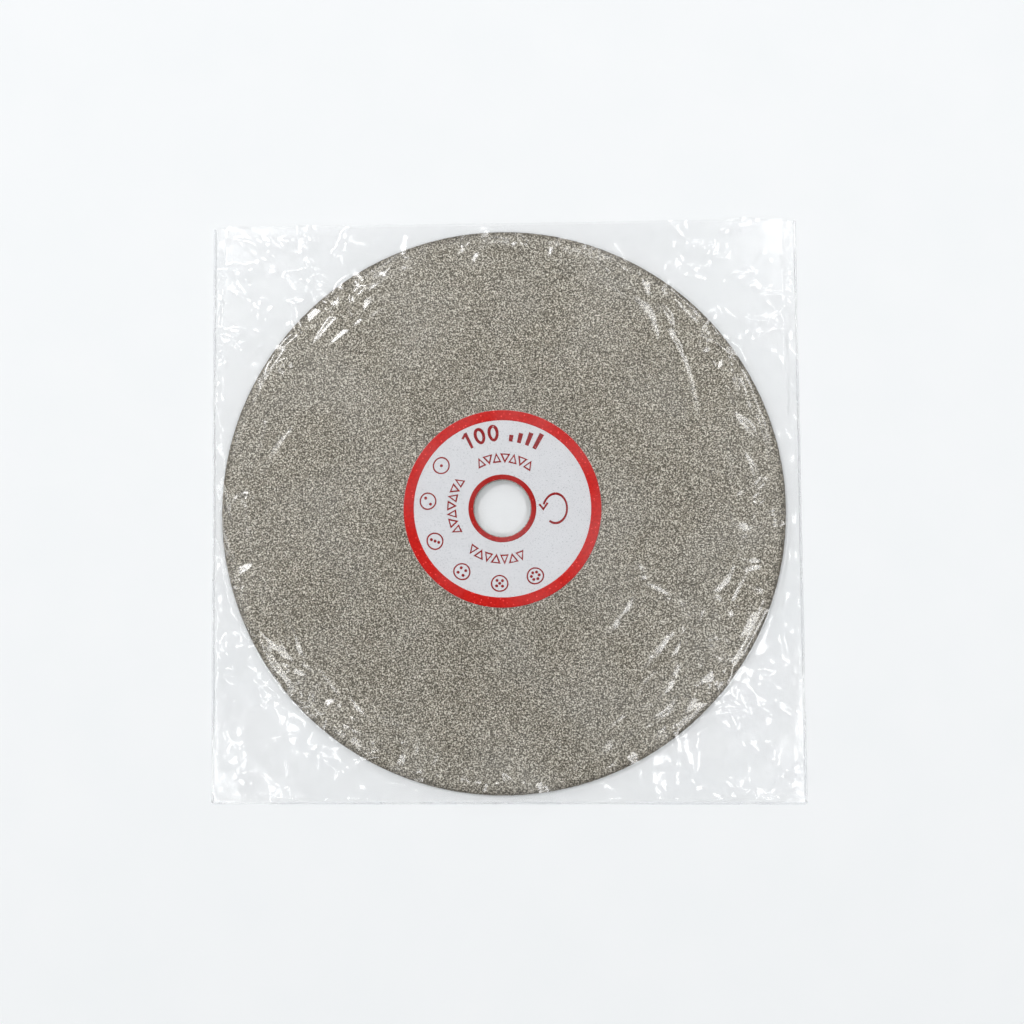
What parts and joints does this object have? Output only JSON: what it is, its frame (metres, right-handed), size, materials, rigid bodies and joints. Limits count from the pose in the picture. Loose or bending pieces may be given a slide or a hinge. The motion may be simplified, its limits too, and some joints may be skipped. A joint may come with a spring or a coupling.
{
  "type": "diamond grinding wheel",
  "caption": "Flat lapidary grinding wheel with a diamond-coated face, plain arbor bore and printed label ring, in a clear film sleeve that slides off.",
  "frame": {"origin": "on the wheel's axis, in the plane that the sleeve rests on", "axes": "+Z along the wheel's axis, out of the coated face; +Y towards the sleeve's open mouth; +X along the sleeve's width"},
  "size_m": [0.208, 0.206, 0.0044],
  "materials": {
    "steel": "bare ground steel, fine circular lay",
    "diamond_grit": "rough grit bonded in matt nickel, warm grey",
    "label": "white printed paper with red rings",
    "clear_film": "clear glossy polythene film, creased"
  },
  "bodies": {
    "wheel": {"steel_disc": "steel", "diamond_coat": "diamond_grit", "label_ring": "label"},
    "sleeve": {"sleeve_back_film": "clear_film", "sleeve_front_film": "clear_film", "sleeve_weld_left": "clear_film", "sleeve_weld_right": "clear_film", "sleeve_folded_end": "clear_film"}
  },
  "joints": [
    {"name": "sleeve_slide", "type": "slide", "parent": "wheel", "child": "sleeve", "axis": [0, -1, 0], "range_m": [0, 0.21]}
  ]
}
